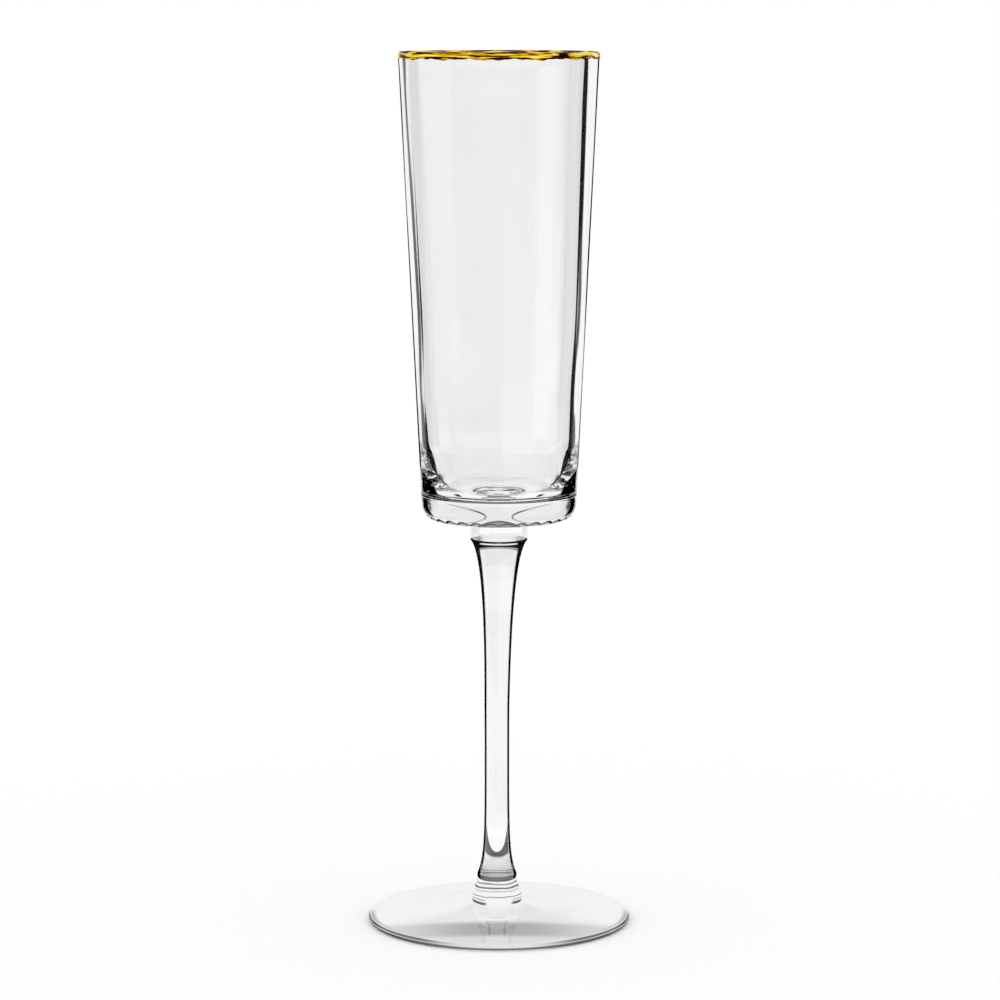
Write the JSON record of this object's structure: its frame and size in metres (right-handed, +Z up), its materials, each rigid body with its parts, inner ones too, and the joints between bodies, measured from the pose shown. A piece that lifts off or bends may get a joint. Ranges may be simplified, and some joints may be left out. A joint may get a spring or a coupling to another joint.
{
  "type": "champagne flute",
  "caption": "Tall stemmed champagne flute with a straight tapered bowl on a heavy base, a slim collared stem, a wide round foot and a gold band on the lip.",
  "frame": {"origin": "centre of the plane that the foot rests on", "axes": "+Z up the stem, from the foot to the rim; X and Y are across the foot, with nothing to tell them apart"},
  "size_m": [0.0766, 0.0766, 0.254],
  "materials": {
    "clear_glass": "clear, fire-polished, colourless",
    "fired_gold": "bright hand-brushed gold lustre, streaky"
  },
  "bodies": {
    "root": {"gold_rim": "fired_gold", "bowl": "clear_glass", "bowl_collar": "clear_glass", "stem": "clear_glass", "foot_collar": "clear_glass", "foot": "clear_glass"}
  },
  "joints": []
}
